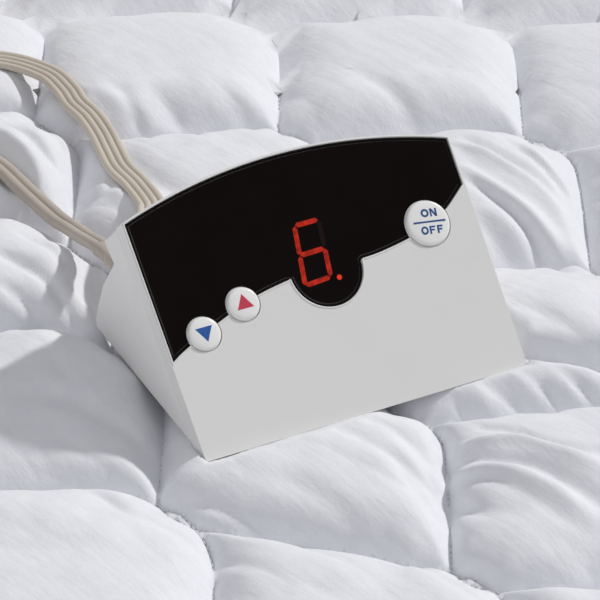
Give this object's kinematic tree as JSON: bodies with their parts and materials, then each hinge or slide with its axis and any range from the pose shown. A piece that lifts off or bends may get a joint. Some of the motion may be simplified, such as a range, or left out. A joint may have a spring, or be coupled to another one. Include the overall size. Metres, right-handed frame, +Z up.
{
  "type": "heated mattress pad",
  "caption": "Quilted electric heating pad for a bed, with a wedge-shaped push-button temperature controller, mains lead and pad lead.",
  "frame": {"origin": "middle of the pad's flat underside, on the surface it lies on", "axes": "+Z up; +Y along the pad's length to the head edge, where the pad's lead plugs in; +X across the pad to the right when read from the foot"},
  "size_m": [0.991, 1.905, 0.0738],
  "materials": {
    "fabric": "white brushed cotton and polyester weave, quilted, matt",
    "cover": "white moulded plastic, satin",
    "housing": "white moulded plastic, fine satin",
    "lens": "black glossy window",
    "button": "white push buttons, satin",
    "cord": "cream vinyl, ribbed",
    "plug": "cream vinyl, moulded",
    "blade": "nickel-plated brass"
  },
  "bodies": {
    "pad": {"quilted_pad": "fabric", "front_cover": "cover", "rear_housing": "housing", "display_lens": "lens", "mains_gland": "cord", "pad_gland": "cord", "mains_lead": "cord", "mains_coil": "cord", "mains_tail": "cord", "mains_plug": "plug", "plug_blade_left": "blade", "plug_blade_right": "blade", "pad_lead": "cord", "pad_coil": "cord", "pad_tail": "cord", "lead_connector": "plug", "pad_socket": "plug"},
    "down_key": {"down_button": "button"},
    "up_key": {"up_button": "button"},
    "on_off_key": {"on_off_button": "button"}
  },
  "joints": [
    {"name": "down_press", "type": "slide", "parent": "pad", "child": "down_key", "axis": [-0.3224, 0.6255, -0.7105], "range_m": [0, 0.001], "stiffness_N_per_m": 1500},
    {"name": "up_press", "type": "slide", "parent": "pad", "child": "up_key", "axis": [-0.3224, 0.6255, -0.7105], "range_m": [0, 0.001], "stiffness_N_per_m": 1500},
    {"name": "on_off_press", "type": "slide", "parent": "pad", "child": "on_off_key", "axis": [-0.3224, 0.6255, -0.7105], "range_m": [0, 0.001], "stiffness_N_per_m": 1500}
  ]
}
